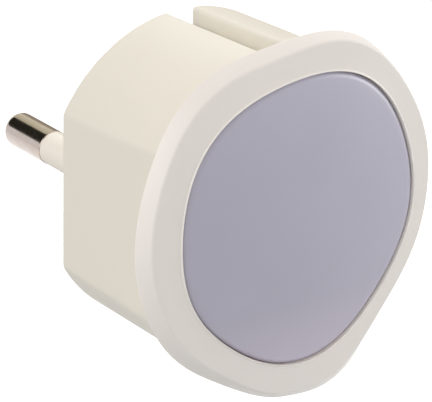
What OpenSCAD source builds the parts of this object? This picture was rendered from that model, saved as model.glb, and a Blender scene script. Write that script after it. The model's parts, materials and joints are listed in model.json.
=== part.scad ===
// Plug in night light.
// The plug's axis runs along Y: its pins point to +Y, its lit window faces -Y, and +Z is up.
// The origin is the centre of the flat rear face, half way between the two pins.
// Every piece is drawn with its depth z measured forward from the rear face, and upright() turns it.

/* [Plug pins] */
// Diameter of the bare metal of each pin
pin_d = 4; // [3.9:0.05:4.2]
// Length of each pin outside the housing
pin_len = 19; // [17:0.5:22]
// Distance between the two pin axes at the rear face
pin_pitch = 18.8; // [18:0.1:19.6]
// Inward lean of each pin, in degrees
pin_lean = 1.7; // [0:0.1:2.4]
// Radius on the edge of each pin tip
pin_tip_r = 1; // [0.4:0.1:1.4]
// Diameter of the insulating sleeve
sleeve_d = 3.65; // [3.4:0.05:3.65]
// Length of the sleeve outside the housing
sleeve_len = 10; // [7:0.5:12]
// Diameter of the metal core inside the sleeve
core_d = 2.6; // [2:0.1:3]
// Diameter of the flange on the inner end of each pin
flange_d = 5.4; // [4.8:0.1:5.8]
// Thickness of that flange
flange_t = 1.4; // [1:0.1:1.6]
// Diameter of the stem that carries the contact strip
stem_d = 2; // [1.8:0.1:2.4]

/* [Housing] */
// Diameter of the round body at its rear face
body_d = 36.2; // [35:0.2:37]
// How much that diameter grows up to the bezel
body_taper = 0.9; // [0:0.1:1.2]
// Distance across the two side flats
body_flats = 31.4; // [30:0.2:32]
// Depth of the body from its rear face to the bezel
body_depth = 20.1; // [19.5:0.1:24]
// Radius on the rear edge of the body
rear_edge_r = 0.3; // [0.2:0.1:1.2]
// Wall thickness of the body
wall = 1.8; // [1.5:0.1:2]
// Thickness of the rear floor
floor_t = 2.2; // [1.8:0.1:2.6]
// Width of the slots at the top and bottom of the body
slot_w = 3.4; // [3:0.1:4.4]
// Depth of those slots, measured from the rear face's rim
slot_depth = 3; // [2:0.1:3.4]
// Thickness of the raised pad under the pin flanges
pad_t = 1.8; // [1.4:0.1:2]

/* [Earth pin well] */
// Diameter of the blind hole that clears a socket's earth pin
earth_hole_d = 5.4; // [5:0.1:5.8]
// Height of that hole above the two pins
earth_hole_y = 10; // [9.8:0.1:10.4]
// Wall thickness around the hole
well_wall = 1.3; // [1:0.1:1.4]
// Thickness of the well's closed end, which the board rests on
well_end = 0.8; // [0.6:0.1:1.4]

/* [Front outline] */
// Mean radius of the window
lens_r = 16.2; // [15.8:0.1:16.6]
// How much taller than wide the window is, as a wave on its radius
lens_tall = 0.37; // [0:0.01:0.5]
// Three-lobed wave on the window's radius
lens_lobes = 0.37; // [0:0.01:0.5]
// Five-lobed wave on the window's radius
lens_ripple = 0.25; // [0:0.01:0.3]
// Upward shift of the window's outline
lens_lift = 0.41; // [0:0.01:0.5]
// Mean radius of the crease between the ring's face and its flank
crease_r = 19.4; // [19:0.05:19.8]
// How much taller than wide the crease is, as a wave on its radius
crease_tall = 0.63; // [0:0.01:0.7]
// Three-lobed wave on the crease's radius
crease_lobes = 0.66; // [0:0.01:0.8]
// Five-lobed wave on the crease's radius
crease_ripple = 0.43; // [0:0.01:0.5]
// Upward shift of the crease's outline
crease_lift = 0.26; // [0:0.01:0.5]
// Four-lobed wave on the crease's radius
crease_square = 0.16; // [0:0.01:0.25]
// Seven-lobed wave on the crease's radius
crease_fine = 0.16; // [0:0.01:0.25]
// Depth of the soft dent near the bottom of the crease
crease_dent = 0.55; // [0:0.05:0.6]
// Direction of that dent, in degrees from the right
dent_turn = 273; // [265:1:280]
// Half of the arc that the dent covers, in degrees
dent_half = 19; // [15:1:30]
// Turn of the lobes, in degrees
lobe_turn = 8; // [0:0.1:15]

/* [Bezel] */
// Mean width by which the flank flares out behind the crease
flare_w = 0.8; // [0.8:0.05:1.2]
// Sideways shift of the flank's rear outline, which widens the flare on that side
flare_shift = 0.8; // [0:0.05:0.8]
// Direction of that shift, in degrees from the right
flare_turn = 166; // [150:1:180]
// Three-lobed wave on the flare's width
flare_lobes = 0.16; // [0:0.01:0.2]
// Height of the soft bulge at the lower right of the flank's rear outline
flare_bulge = 1.4; // [0:0.05:1.5]
// Direction of that bulge, in degrees from the right
bulge_turn = 294; // [285:1:300]
// Half of the arc that the bulge covers, in degrees
bulge_half = 24; // [20:1:35]
// Depth of the bevelled flank
flank_t = 1.2; // [0.9:0.1:1.8]
// Rise of the ring's face from the crease to the window
face_rise = 0.56; // [0.2:0.02:0.9]
// Thickness of the web that the window sits on
web_t = 0.8; // [0.6:0.05:1]
// Softness of the crease
crease_soft = 0.45; // [0.1:0.05:0.6]
// Softness of the lip around the window
lip_soft = 0.3; // [0.1:0.05:0.4]
// Thickness of the snap fingers
finger_t = 1.4; // [1:0.1:1.6]
// Arc covered by each snap finger, in degrees
finger_arc = 26; // [16:1:28]
// Reach of the hook on each snap finger
hook_reach = 0.5; // [0.3:0.05:0.6]

/* [Window] */
// Rise of the window's dome
dome_rise = 1.35; // [0.6:0.05:2.5]
// Drop of the window's edge below the lip around it
edge_drop = 0.1; // [0:0.05:0.4]
// Wall thickness of the dome
dome_t = 1; // [0.8:0.1:1.2]
// Gap between the window and the lip around it
lens_gap = 0.1; // [0.1:0.01:0.2]
// Thickness of the window's snap skirt
skirt_t = 1; // [0.8:0.05:1.1]
// Height of the window's snap skirt behind the web
skirt_h = 0.9; // [0.7:0.05:1.1]

/* [Light box and board] */
// Room between the board's front and the bezel
mouth_depth = 3.3; // [3.2:0.1:3.6]
// Thickness of the board
board_t = 1; // [0.8:0.1:1.2]
// Gap between the board's edge and the housing
board_gap = 0.35; // [0.2:0.05:0.5]
// Diameter of each board post
post_d = 4.2; // [3.6:0.1:4.4]
// Room between a board post and the round wall
post_room = 1.2; // [0.8:0.1:1.6]
// Widening of the light box from its floor to its rim
tray_flare = 1.4; // [1:0.1:1.8]
// Room between the light box's rim and the window's skirt
tray_room = 1.5; // [1.2:0.1:1.8]
// Wall thickness of the light box
tray_t = 0.7; // [0.5:0.05:0.9]
// Room under the light box for the solder joints
tray_lift = 0.9; // [0.8:0.05:1.1]
// Number of light sources
led_count = 3; // [3:1:3]

/* [Pin retainer and screws] */
// Thickness of the pin retainer
retainer_t = 2.2; // [2:0.1:2.6]
// Half width of the pin retainer
retainer_y = 3.6; // [3.2:0.1:3.8]
// Sideways place of the retainer screws
retainer_screw_x = 3.4; // [3:0.1:3.8]
// Shank diameter of the screws
screw_d = 1.9; // [1.6:0.1:2]
// Head diameter of the screws
screw_head_d = 3.2; // [2.8:0.1:3.4]
// Head height of the screws
screw_head_t = 1.1; // [0.8:0.1:1.2]
// Metal beside the stem's hole on each edge of the contact strips
strip_side = 0.7; // [0.5:0.05:1]
// Thickness of the contact strips
strip_t = 0.5; // [0.4:0.05:0.6]

/* [Components] */
// Width of the film capacitor
film_w = 12; // [11:0.5:14]
// Depth of the film capacitor across the board
film_y = 5.4; // [5:0.1:5.6]
// Height of the film capacitor
film_h = 7.2; // [6:0.1:8.2]
// Diameter of the smoothing capacitor
can_d = 6.3; // [5:0.1:6.4]
// Height of the smoothing capacitor
can_h = 9; // [7:0.5:10]
// Diameter of the fusible resistor
fusible_d = 2.3; // [1.8:0.1:2.4]
// Length of the fusible resistor
fusible_len = 6.4; // [5.5:0.1:6.8]
// Diameter of the bleed resistor
bleed_d = 1.8; // [1.6:0.1:2]
// Length of the bleed resistor
bleed_len = 4.2; // [3.8:0.1:4.6]
// Diameter of the component leads
lead_d = 0.6; // [0.5:0.05:0.7]

/* [Hidden] */
$fn = 64;

// Free running clearance between moulded pieces
fit = 0.15;
// Clearance between a pin's core and its sleeve, and between a screw and its hole's wall
close_fit = 0.02;
// Clearance of a lead or peg in its hole in the board
hole_fit = 0.1;
// Extra length of every cutting body
past = 1;
// Radius of the inner corners of the housing
inner_edge_r = 0.3;
// Floor left under the pilot holes of the retainer screws
pilot_floor = 0.8;
// Depth of the pilot holes in the board posts
post_pilot = 6;
// Gap between a screw's tip and the end of its pilot hole
screw_short = 0.3;
// Extra turn of the snap grooves past each end of their fingers, in degrees
groove_slack = 2;
// Direction of the first snap finger, in degrees from the right
finger_turn = 58;

// Depths, all measured forward from the rear face
pad_z = floor_t + pad_t;
flange_sink = 0.3;
flange_z = pad_z - flange_sink;
retainer_z = pad_z + retainer_t;
plate_z = body_depth;
board_z = body_depth - mouth_depth - board_t;
board_front = board_z + board_t;
seat_z = plate_z + web_t;
crease_z = plate_z + flank_t;
face_z = crease_z + face_rise;
lens_edge_z = face_z - edge_drop;
tray_z = board_front + tray_lift;
lead_end_z = board_front + tray_lift - 0.15;

// Radii and half widths
body_r = body_d / 2;
flat_x = body_flats / 2;
slot_floor = body_r - slot_depth;
tip_r = pin_d / 2;
// The window's web stays inside the slot walls, with room for the snap skirt's bead behind it
web_room = 0.5;
web_r = min(slot_floor, flat_x) - wall - web_room;

// The body's outer radius at depth z
function body_r_at(z) = body_r + body_taper / 2 * z / body_depth;

// Sizes that no one but the maker of the boards and screws would change
pilot_d = screw_d + 2 * close_fit;
strip_w = stem_d + 2 * fit + 2 * strip_side;
strip_out = 2;
strip_x = pin_pitch / 2 + strip_out;
retainer_x = strip_x + 0.6;
pad_y = retainer_y + 0.6;
bend = 0.9;
bridge_size = [3.8, 4.7, 2.4];
zener_len = 3.6;
zener_r = 0.85;
chip_size = [2, 1.25, 0.6];
led_size = [3.5, 2.8, 0.8];
led_dish_d = 2;
film_leads = 10;
can_leads = 2.5;

// Free radius inside the housing, and the places of the posts and the light box within it
room_r = body_r - wall;
post_ring = room_r - post_d / 2 - post_room;
post_y = retainer_y + post_d / 2 + 2 * fit;
post_x = min(sqrt(post_ring * post_ring - post_y * post_y), flat_x - wall - post_d / 2 - post_room / 2);
tray_rim_r = web_r - fit - skirt_t - tray_room;
tray_r = tray_rim_r - tray_flare;
peg_r = 0.8;
peg_shoulder = 0.5;
peg_short = 0.2;
peg_x = tray_r - peg_r - peg_shoulder - 0.2;
peg_y = -0.6;
led_ring_r = tray_r - led_size[0];

// Places of the components on the board, in rows from the bottom slot upwards
row_gap = 0.8;
fusible_room = 3.2;
fusible_at = [0, fusible_room - (slot_floor - wall)];
film_at = [0, fusible_at[1] + fusible_d / 2 + row_gap + film_y / 2];
film_top = film_at[1] + film_y / 2;
bridge_at = [zener_len / 2 + row_gap + bridge_size[0] / 2, film_top + row_gap + bridge_size[1] / 2];
zener_at = [0, 0.6];
chips_at = [[-4.6, 0.4], [-4.6, 2.6]];
can_room = 2.2;
can_ring = room_r - can_d / 2 - can_room;
can_at = can_ring * [cos(135), sin(135)];
well_r = earth_hole_d / 2 + well_wall;
bleed_at = [(well_r + post_x - post_d / 2) / 2, earth_hole_y - 1.6];

cream = [0.91, 0.89, 0.84];
milk = [0.70, 0.69, 0.76];
nickel = [0.62, 0.58, 0.52];
brass = [0.80, 0.66, 0.36];
steel = [0.66, 0.67, 0.70];
tin = [0.78, 0.79, 0.80];
board_green = [0.13, 0.42, 0.24];

// ---------------------------------------------------------------- placing

// Turns a piece that is drawn along z so that its front faces -Y
module upright() rotate([90, 0, 0]) children();

// The leaning frame of one pin: side is -1 for the left pin and 1 for the right one
module pin_frame(side) translate([side * pin_pitch / 2, 0, 0]) rotate([0, side * pin_lean, 0]) children();

// Where a pin's axis stands sideways at depth z
function pin_x(z) = pin_pitch / 2 + tan(pin_lean) * z;

// ---------------------------------------------------------------- outlines

// A quarter round in a profile, from angle a0 to a1 around centre c
function arc(c, r, a0, a1, steps = 6) =
    [for (i = [0:steps]) c + r * [cos(a0 + (a1 - a0) * i / steps), sin(a0 + (a1 - a0) * i / steps)]];

// The soft three-lobed outline: radius in direction a, in degrees from the right
function lobed(a, mean, tall, lobes, ripple, lift, square = 0, fine = 0) =
    let (u = a - lobe_turn)
    mean - tall * cos(2 * u) + lobes * sin(3 * u) + square * cos(4 * u) - ripple * sin(5 * u)
         + fine * sin(7 * u) + lift * sin(u);
function lens_at(a) = lobed(a, lens_r, lens_tall, lens_lobes, lens_ripple, lens_lift);
function crease_at(a) =
    lobed(a, crease_r, crease_tall, crease_lobes, crease_ripple, crease_lift, crease_square, crease_fine)
    - dent_at(a);

// A soft swell of height 1 in direction c, which fades to nothing half degrees away on each side
function swell(a, c, half) =
    let (d = (a - c + 540) % 360 - 180)
    abs(d) < half ? pow(cos(90 * d / half), 2) : 0;
function dent_at(a) = crease_dent * swell(a, dent_turn, dent_half);
function flare_at(a) = flare_w + flare_shift * cos(a - flare_turn) - flare_lobes * sin(3 * (a - lobe_turn))
    + dent_at(a) + flare_bulge * swell(a, bulge_turn, bulge_half);
function flank_at(a) = crease_at(a) + flare_at(a);

// A corner b between a and c, softened by a curve that starts and ends a distance s away from it
function softened(a, b, c, s, steps = 4) =
    let (p = b + s * (a - b) / norm(a - b), q = b + s * (c - b) / norm(c - b))
    [for (i = [0:steps]) let (t = i / steps) (1 - t) * (1 - t) * p + 2 * t * (1 - t) * b + t * t * q];

// Joins profiles of equal length, one for each direction, into a closed band of faces
turns = 96;
function directions() = [for (i = [0:turns - 1]) 360 * i / turns];
function band_points(profiles) =
    [for (i = [0:turns - 1]) for (p = profiles[i])
        [p[0] * cos(360 * i / turns), p[0] * sin(360 * i / turns), p[1]]];
function band_faces(rows, closed) =
    [for (i = [0:turns - 1]) for (j = [0:rows - (closed ? 1 : 2)])
        let (a = i * rows + j, b = i * rows + (j + 1) % rows,
             c = ((i + 1) % turns) * rows + (j + 1) % rows, d = ((i + 1) % turns) * rows + j)
        each [[a, b, c], [a, c, d]]];

// A solid whose profile closes on itself, such as a ring
module lobed_ring(profiles)
    polyhedron(band_points(profiles), band_faces(len(profiles[0]), true), convexity = 8);

// A solid whose profile runs from one point on the axis to another
module lobed_cap(profiles, top, bottom) {
    rows = len(profiles[0]);
    tips = [[0, 0, top], [0, 0, bottom]];
    fans = [for (i = [0:turns - 1]) let (a = i * rows, d = ((i + 1) % turns) * rows)
        each [[turns * rows, a, d], [turns * rows + 1, d + rows - 1, a + rows - 1]]];
    polyhedron(concat(band_points(profiles), tips), concat(band_faces(rows, false), fans), convexity = 8);
}

// ---------------------------------------------------------------- housing

// The round body, inset from its outer surface, from depth z0 to z1, with its rear edge rounded by edge
module round_form(inset, z0, z1, edge) {
    r0 = body_r_at(z0) - inset;
    r1 = body_r_at(z1) - inset;
    rotate_extrude()
        polygon(concat([[0, z0]], arc([r0 - edge, z0 + edge], edge, -90, 0), [[r1, z1], [0, z1]]));
}

// The slab between the two side flats, with the same inset and rear edge
module flat_form(inset, z0, z1, edge) {
    x = flat_x - inset;
    rotate([90, 0, 0])
        linear_extrude(2 * body_d, center = true)
            polygon(concat(arc([edge - x, z0 + edge], edge, -180, -90),
                           arc([x - edge, z0 + edge], edge, -90, 0), [[x, z1], [-x, z1]]));
}

module body_form(inset, z0, z1, edge) intersection() {
    round_form(inset, z0, z1, edge);
    flat_form(inset, z0, z1, edge);
}

// Blocks at the top and bottom, w wide, that start at height y above the axis
module slot_blocks(w, y, z0, z1)
    for (side = [-1, 1])
        translate([-w / 2, side > 0 ? y : -y - body_r, z0])
            cube([w, body_r, z1 - z0]);

module snap_place(grow)
    for (centre = [finger_turn, 180 - finger_turn, 180 + finger_turn, 360 - finger_turn])
        rotate([0, 0, centre - finger_arc / 2 - grow])
            rotate_extrude(angle = finger_arc + 2 * grow)
                children();

// Profile of a snap finger with its hook, and of the groove that takes the hook
finger_z = board_front + 0.3;
hook_h = 1.2;
module finger_profile() {
    r0 = body_r_at(finger_z) - wall - fit;
    r1 = body_r_at(plate_z) - wall - fit;
    polygon([[r0 - finger_t, finger_z], [r0, finger_z], [r0 + hook_reach, finger_z + hook_h / 2],
             [r0 + hook_reach, finger_z + hook_h], [r0, finger_z + hook_h],
             [r1, plate_z + web_t / 2], [r1 - finger_t, plate_z + web_t / 2]]);
}
module groove_profile() {
    r = body_r_at(finger_z) - wall;
    polygon([[r - past, finger_z - fit], [r + fit, finger_z - fit], [r + hook_reach + fit / 2, finger_z + hook_h / 2],
             [r + hook_reach + fit / 2, finger_z + hook_h + fit], [r - past, finger_z + hook_h + fit]]);
}

module posts(d, z0, z1)
    for (side = [-1, 1])
        translate([side * post_x, side * post_y, z0])
            cylinder(d = d, h = z1 - z0);

module rear_housing() color(cream) upright() difference() {
    union() {
        difference() {
            body_form(0, 0, body_depth, rear_edge_r);
            body_form(wall, floor_t, body_depth + past, inner_edge_r);
        }
        intersection() {
            body_form(wall / 2, floor_t / 2, body_depth, inner_edge_r);
            slot_blocks(slot_w + 2 * wall, slot_floor - wall, floor_t / 2, body_depth);
        }
        translate([-retainer_x, -pad_y, floor_t / 2])
            cube([2 * retainer_x, 2 * pad_y, pad_z - floor_t / 2]);
        translate([0, earth_hole_y, floor_t / 2])
            cylinder(r = well_r, h = board_z - floor_t / 2);
        posts(post_d, floor_t / 2, board_z);
    }
    slot_blocks(slot_w, slot_floor, -past, body_depth + past);
    translate([0, earth_hole_y, -past])
        cylinder(d = earth_hole_d, h = board_z - well_end + past);
    for (side = [-1, 1]) {
        pin_frame(side) {
            translate([0, 0, -past])
                cylinder(d = sleeve_d + 2 * fit, h = pad_z + 2 * past);
            translate([0, 0, flange_z])
                cylinder(d = flange_d + 2 * fit, h = pad_t + past);
        }
        translate([side * retainer_screw_x, 0, pilot_floor])
            cylinder(d = pilot_d, h = pad_z);
    }
    posts(pilot_d, board_z - post_pilot, board_z + past);
    snap_place(groove_slack) groove_profile();
}

// ---------------------------------------------------------------- front

// The ring: back plane, bevelled flank, soft crease, sloping face, soft lip, window seat and web
function bezel_profile(a) =
    let (rear = [flank_at(a), plate_z], crease = [crease_at(a), crease_z],
         lip = [lens_at(a) + lens_gap, face_z], seat = [lens_at(a) + lens_gap, seat_z])
    concat([[web_r, plate_z], rear], softened(rear, crease, lip, crease_soft),
           softened(crease, lip, seat, lip_soft), [seat, [web_r, seat_z]]);

module front_bezel() color(cream) upright() union() {
    lobed_ring([for (a = directions()) bezel_profile(a)]);
    snap_place(0) finger_profile();
}

// The dome's depth at a share t of the way from its centre to its edge
function dome_z(t) = lens_edge_z + dome_rise * (1 - pow(t, 2.2));

function lens_profile(a) =
    let (r = lens_at(a), inner = web_r - fit, rim = [r, lens_edge_z], steps = 9,
         bead = web_r + fit)
    concat([for (i = [1:steps]) let (t = 0.96 * i / steps) [r * t, dome_z(t)]],
           arc([r - 0.55, lens_edge_z - 0.45], 0.55, 60, 0, 4),
           [[r, seat_z], [inner, seat_z], [inner, plate_z - 0.1], [bead, plate_z - 0.4],
            [inner, plate_z - skirt_h], [inner - skirt_t, plate_z - skirt_h], [inner - skirt_t, seat_z - 0.2]],
           [for (i = [0:steps - 2]) let (t = 1 - i / (steps - 1))
               [(inner - skirt_t - 0.4) * t, dome_z((inner - skirt_t) / r * t) - dome_t]]);

module diffuser() color(milk) upright()
    lobed_cap([for (a = directions()) lens_profile(a)], dome_z(0), dome_z(0) - dome_t);

// ---------------------------------------------------------------- light box and board

module led_places()
    for (i = [0:led_count - 1])
        rotate([0, 0, 360 * i / led_count - 90])
            translate([led_ring_r, 0, 0])
                children();

module boxed(size, z)
    translate([-size[0] / 2, -size[1] / 2, z])
        cube(size);

module reflector_tray() color([0.96, 0.96, 0.95]) upright() difference() {
    union() {
        rotate_extrude()
            polygon([[0, tray_z], [tray_r, tray_z], [tray_rim_r, plate_z - fit],
                     [tray_rim_r - tray_t, plate_z - fit], [tray_r - tray_t, tray_z + tray_t], [0, tray_z + tray_t]]);
        for (side = [-1, 1])
            translate([side * peg_x, peg_y, 0]) {
                translate([0, 0, board_front])
                    cylinder(r = peg_r + peg_shoulder, h = tray_lift + tray_t / 2);
                translate([0, 0, board_z + peg_short])
                    cylinder(r = peg_r, h = board_t + tray_lift - peg_short);
            }
    }
    led_places() boxed([led_size[1] + 0.6, led_size[0] + 0.6, 2 * tray_t + past], tray_z - past);
}

module lead_holes() {
    for (p = lead_points)
        translate([p[0], p[1], board_z - past])
            cylinder(d = lead_d + 2 * hole_fit, h = board_t + 2 * past);
}

// Places where a component's lead passes through the board
lead_points = [[film_at[0] - film_leads / 2, film_at[1]], [film_at[0] + film_leads / 2, film_at[1]],
               [can_at[0] - can_leads / 2, can_at[1]], [can_at[0] + can_leads / 2, can_at[1]],
               [fusible_at[0] - fusible_len / 2 - bend, fusible_at[1]],
               [fusible_at[0] + fusible_len / 2 + bend, fusible_at[1]],
               [bleed_at[0], bleed_at[1] - bleed_len / 2 - bend], [bleed_at[0], bleed_at[1] + bleed_len / 2 + bend]];

module circuit_board() color(board_green) upright() difference() {
    body_form(wall + board_gap, board_z, board_front, 0.01);
    slot_blocks(slot_w + 2 * (wall + board_gap), slot_floor - wall - board_gap, board_z - past, board_front + past);
    posts(screw_d + 2 * fit, board_z - past, board_front + past);
    lead_holes();
    for (side = [-1, 1]) {
        translate([side * strip_x, 0, 0])
            boxed([strip_t + 2 * fit, strip_w + 2 * fit, board_t + 2 * past], board_z - past);
        translate([side * peg_x, peg_y, board_z - past])
            cylinder(r = peg_r + hole_fit, h = board_t + 2 * past);
    }
}

module leds() color([0.97, 0.93, 0.62]) upright()
    led_places() difference() {
        boxed([led_size[1], led_size[0], led_size[2]], board_front);
        translate([0, 0, board_front + led_size[2] - 0.25])
            cylinder(d1 = led_dish_d, d2 = led_dish_d + 0.3, h = 0.3);
    }

// ---------------------------------------------------------------- pins and their contacts

module plug_pin(side) color(nickel) upright() pin_frame(side) rotate_extrude()
    polygon(concat([[0, -pin_len]], arc([tip_r - pin_tip_r, pin_tip_r - pin_len], pin_tip_r, -90, 0),
                   [[tip_r, -sleeve_len], [core_d / 2, -sleeve_len], [core_d / 2, flange_z],
                    [flange_d / 2, flange_z], [flange_d / 2, flange_z + flange_t], [stem_d / 2, flange_z + flange_t],
                    [stem_d / 2, rivet_z], [stem_d / 2 + 0.45, rivet_z], [stem_d / 2 + 0.2, rivet_z + 0.5],
                    [0, rivet_z + 0.6]]));

// The riveted end of a pin's stem lies just over the contact strip's foot
rivet_z = retainer_z + strip_t + 0.12;

module pin_sleeve(side) color([0.93, 0.92, 0.86]) upright() pin_frame(side)
    translate([0, 0, -sleeve_len])
        difference() {
            cylinder(d = sleeve_d, h = sleeve_len + flange_z);
            translate([0, 0, -past])
                cylinder(d = core_d + 2 * close_fit, h = sleeve_len + flange_z + 2 * past);
        }

module pin_retainer() color([0.25, 0.26, 0.28]) upright() difference() {
    translate([-retainer_x, -retainer_y, pad_z])
        cube([2 * retainer_x, 2 * retainer_y, retainer_t]);
    for (side = [-1, 1]) {
        pin_frame(side) {
            translate([0, 0, flange_z - past])
                cylinder(d = flange_d + 2 * fit, h = flange_t + past);
            cylinder(d = stem_d + 2 * fit, h = retainer_z + past);
        }
        translate([side * retainer_screw_x, 0, pad_z - past])
            cylinder(d = screw_d + 2 * fit, h = retainer_t + 2 * past);
    }
}

// A self-tapping screw whose head sits on depth z and whose shank runs back by len
module screw(z, len) difference() {
    rotate_extrude()
        polygon([[0, z - len], [screw_d / 2 - 0.5, z - len], [screw_d / 2, z - len + 1], [screw_d / 2, z],
                 [screw_head_d / 2, z], [screw_head_d / 2, z + screw_head_t * 0.6],
                 [screw_head_d / 2 - 0.4, z + screw_head_t], [0, z + screw_head_t]]);
    for (turn = [0, 90])
        rotate([0, 0, turn])
            boxed([screw_head_d * 0.6, 0.4, screw_head_t], z + screw_head_t * 0.45);
}

module retainer_screws() color(steel) upright()
    for (side = [-1, 1])
        translate([side * retainer_screw_x, 0, 0])
            screw(retainer_z, retainer_z - pilot_floor - screw_short);

module board_screws() color(steel) upright()
    for (side = [-1, 1])
        translate([side * post_x, side * post_y, 0])
            screw(board_front, board_t + post_pilot - screw_short);

module contact_strip(side) color(brass) upright() difference() {
    union() {
        translate([side > 0 ? strip_in : -strip_x - strip_t / 2, -strip_w / 2, retainer_z])
            cube([strip_x + strip_t / 2 - strip_in, strip_w, strip_t]);
        translate([side * strip_x, 0, 0])
            boxed([strip_t, strip_w, lead_end_z - retainer_z], retainer_z);
    }
    translate([side * pin_x(retainer_z), 0, retainer_z - past])
        cylinder(d = stem_d + 2 * fit, h = strip_t + 2 * past);
}

// Where the inner edge of a contact strip's foot lies
strip_in = pin_pitch / 2 - 2;

// ---------------------------------------------------------------- components

// A lead that stands up from depth z through the board
module lead(p, z)
    translate([p[0], p[1], z])
        cylinder(d = lead_d, h = lead_end_z - z);

module film_capacitor() color([0.86, 0.62, 0.16]) upright() {
    translate([film_at[0], film_at[1], board_z - film_h])
        linear_extrude(film_h)
            polygon(concat(arc([film_w / 2 - 0.6, film_y / 2 - 0.6], 0.6, 0, 90, 4),
                           arc([0.6 - film_w / 2, film_y / 2 - 0.6], 0.6, 90, 180, 4),
                           arc([0.6 - film_w / 2, 0.6 - film_y / 2], 0.6, 180, 270, 4),
                           arc([film_w / 2 - 0.6, 0.6 - film_y / 2], 0.6, 270, 360, 4)));
    for (i = [0, 1]) lead(lead_points[i], board_z - 1);
}

module smoothing_capacitor() color([0.16, 0.17, 0.30]) upright() {
    translate([can_at[0], can_at[1], board_z - can_h])
        rotate_extrude()
            polygon([[0, 0], [can_d / 2 - 0.4, 0], [can_d / 2, 0.4], [can_d / 2, can_h - 1.8],
                     [can_d / 2 - 0.25, can_h - 1.4], [can_d / 2, can_h - 1], [can_d / 2, can_h], [0, can_h]]);
    for (i = [2, 3]) lead(lead_points[i], board_z - 1);
}

module bridge_rectifier() color([0.14, 0.14, 0.15]) upright() translate([bridge_at[0], bridge_at[1], 0]) {
    boxed([bridge_size[0], bridge_size[1], bridge_size[2] - 0.15], board_z - bridge_size[2]);
    for (x = [-1, 1], y = [-1, 1])
        translate([x * (bridge_size[0] / 2 - 0.2), y * bridge_size[1] / 4, 0])
            boxed([0.9, 0.6, 0.3], board_z - 0.3);
}

// An axial part lying under the board with both leads bent up through it, drawn along x
module axial(d, len) {
    z = board_z - d / 2;
    translate([-len / 2, 0, z])
        rotate([0, 90, 0])
            rotate_extrude()
                polygon([[0, 0], [d / 2 - 0.15, 0], [d / 2, 0.3], [d / 2, 1.2], [d / 2 - 0.12, 1.6],
                         [d / 2 - 0.12, len - 1.6], [d / 2, len - 1.2], [d / 2, len - 0.3],
                         [d / 2 - 0.15, len], [0, len]]);
    for (side = [-1, 1]) {
        translate([side > 0 ? len / 2 - 0.2 : -len / 2 - bend, 0, z])
            rotate([0, 90, 0])
                cylinder(d = lead_d, h = bend + 0.2);
        translate([side * (len / 2 + bend), 0, z])
            sphere(d = lead_d);
        lead([side * (len / 2 + bend), 0], z);
    }
}

module fusible_resistor() color([0.35, 0.50, 0.38]) upright()
    translate([fusible_at[0], fusible_at[1], 0]) axial(fusible_d, fusible_len);

module bleed_resistor() color([0.78, 0.70, 0.55]) upright()
    translate([bleed_at[0], bleed_at[1], 0]) rotate([0, 0, 90]) axial(bleed_d, bleed_len);

module zener_diode() color([0.75, 0.45, 0.30]) upright()
    translate([zener_at[0] - zener_len / 2, zener_at[1], board_z - zener_r])
        rotate([0, 90, 0])
            rotate_extrude()
                polygon([[0, 0], [zener_r, 0], [zener_r, 0.5], [zener_r - 0.1, 0.6], [zener_r - 0.1, zener_len - 0.6],
                         [zener_r, zener_len - 0.5], [zener_r, zener_len], [0, zener_len]]);

module chip_resistors() color([0.10, 0.10, 0.11]) upright()
    for (p = chips_at)
        translate([p[0], p[1], 0])
            boxed(chip_size, board_z - chip_size[2]);

// A small cone of solder around each lead and along each strip
module solder_joints() color(tin) upright() {
    for (p = lead_points)
        translate([p[0], p[1], board_front])
            difference() {
                cylinder(d1 = lead_d + 1.2, d2 = lead_d + 0.3, h = 0.6);
                translate([0, 0, -past])
                    cylinder(d = lead_d + 2 * close_fit, h = 1 + 2 * past);
            }
    for (side = [-1, 1])
        translate([side * (strip_x - strip_t / 2 - 0.32), 0, 0])
            boxed([0.6, strip_w - 0.4, 0.5], board_front);
}

// ---------------------------------------------------------------- assembly

rear_housing();
front_bezel();
diffuser();
reflector_tray();
circuit_board();
leds();
plug_pin(-1);  // plug_pin_left
plug_pin(1);  // plug_pin_right
pin_sleeve(-1);  // pin_sleeve_left
pin_sleeve(1);  // pin_sleeve_right
pin_retainer();
retainer_screws();
contact_strip(-1);  // contact_strip_left
contact_strip(1);  // contact_strip_right
board_screws();
film_capacitor();
smoothing_capacitor();
bridge_rectifier();
fusible_resistor();
bleed_resistor();
zener_diode();
chip_resistors();
solder_joints();
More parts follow.
